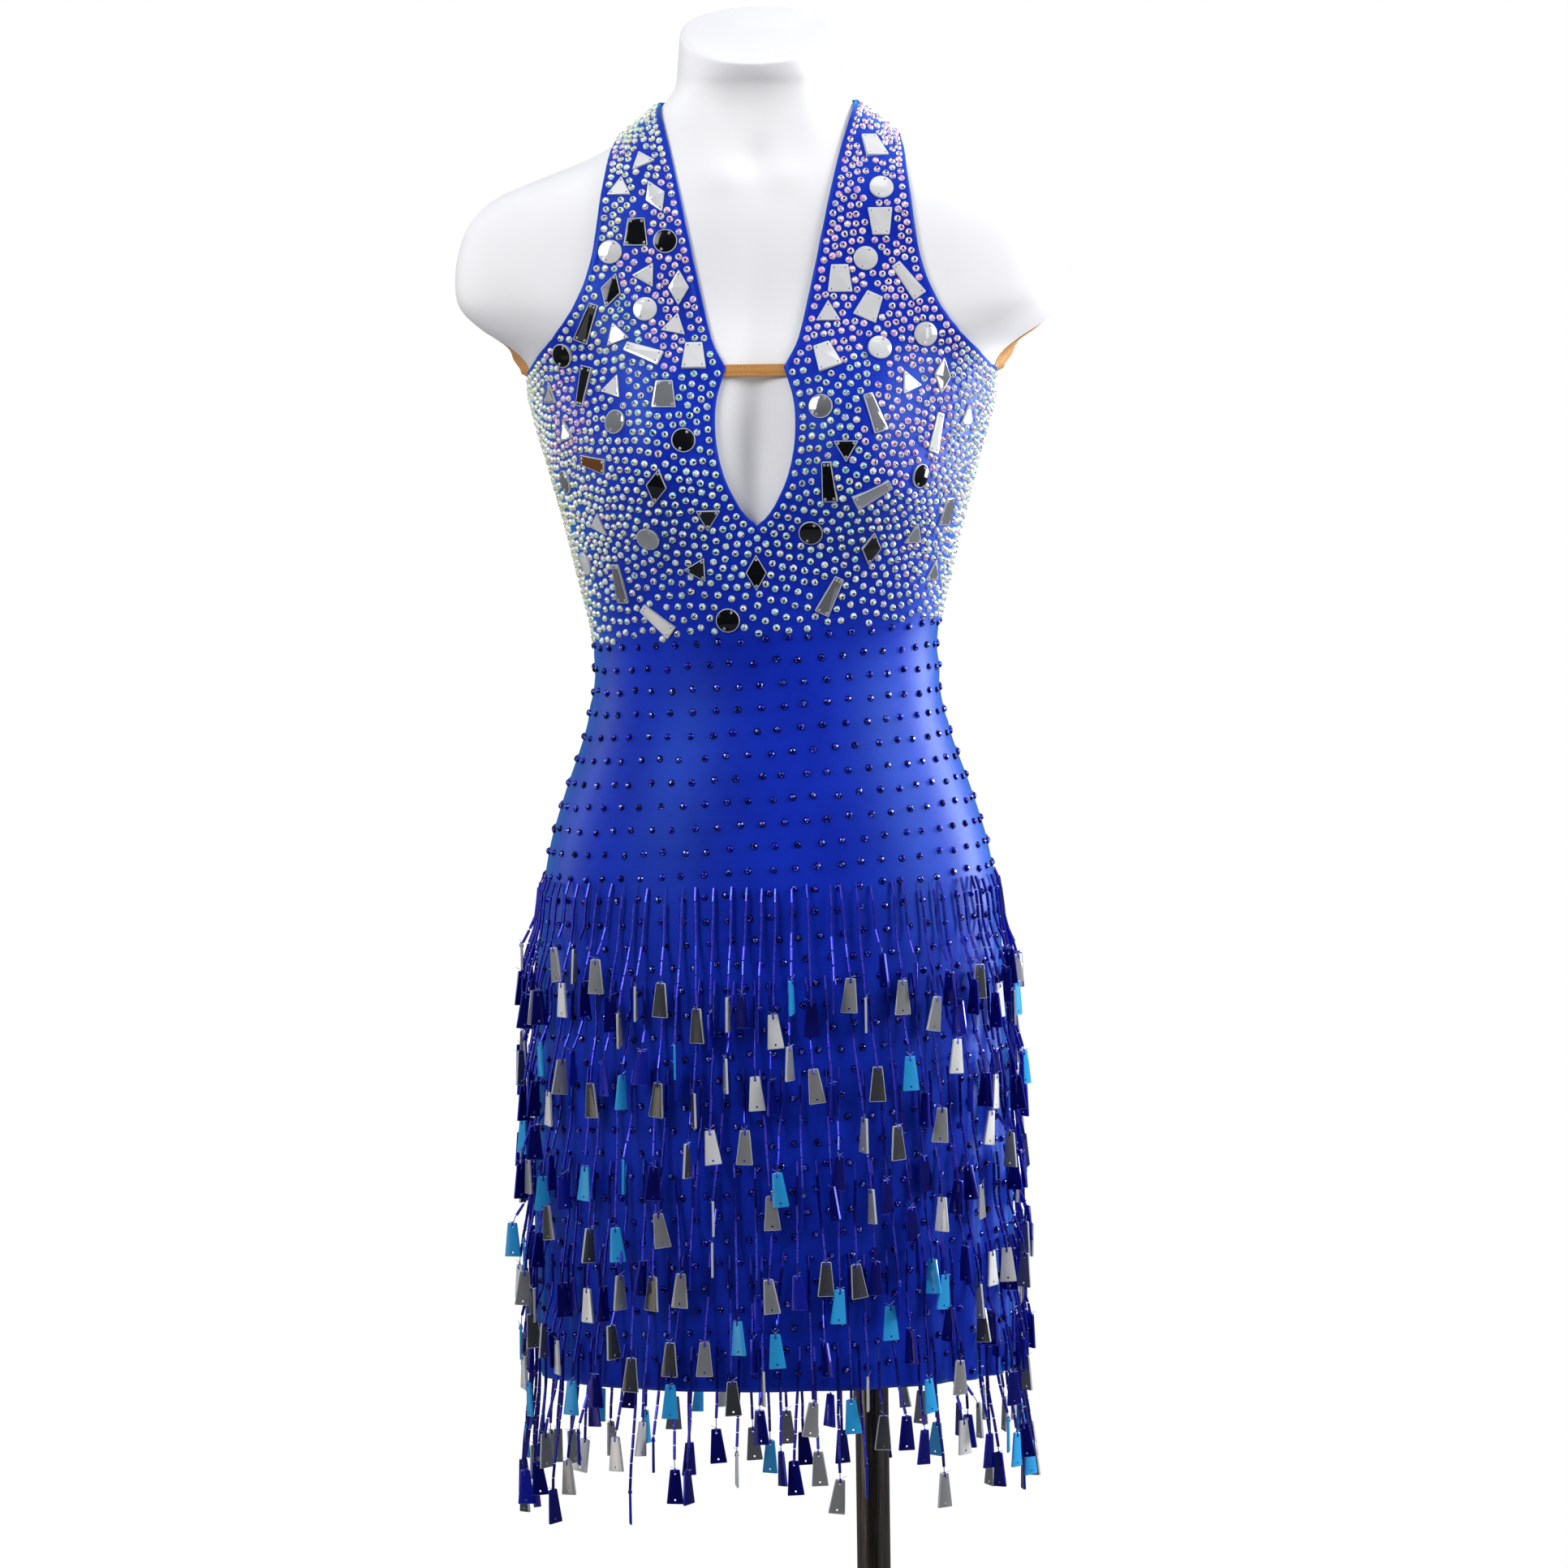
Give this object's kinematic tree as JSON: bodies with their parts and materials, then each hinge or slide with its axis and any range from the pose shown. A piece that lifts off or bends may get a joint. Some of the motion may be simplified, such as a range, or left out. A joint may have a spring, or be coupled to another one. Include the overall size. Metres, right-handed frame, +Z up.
{
  "type": "dance dress on dress form",
  "caption": "Sleeveless halter dance dress with keyhole front, sewn mirrors and tiled bead fringe, on a limbless dress form and steel stand.",
  "frame": {"origin": "on the floor at the middle of the base plate, under the middle of the dress form", "axes": "+Z up; the dress faces -Y; +X is to the viewer's right when the front is seen"},
  "size_m": [0.3974, 0.35, 1.4981],
  "materials": {
    "blue_cloth": "satin stretch knit",
    "tan_elastic": "topstitched elastic",
    "bead_fringe": "glass bugle beads and mirrored acrylic tiles",
    "mirror_acrylic": "polished, bevelled edge",
    "cut_stones": "faceted, iridescent coating",
    "form_shell": "smooth matt white",
    "stand_steel": "polished tube and plate"
  },
  "bodies": {
    "root": {"front_panel": "blue_cloth", "back_panel": "blue_cloth", "neck_band": "blue_cloth", "keyhole_strap": "tan_elastic", "back_strap_left": "tan_elastic", "back_strap_right": "tan_elastic", "fringe_row_1": "bead_fringe", "fringe_row_2": "bead_fringe", "fringe_row_3": "bead_fringe", "fringe_row_4": "bead_fringe", "fringe_row_5": "bead_fringe", "fringe_row_6": "bead_fringe", "dress_form": "form_shell", "pole_socket": "stand_steel", "stand_pole": "stand_steel", "base_collar": "stand_steel", "base_plate": "stand_steel"}
  },
  "joints": []
}
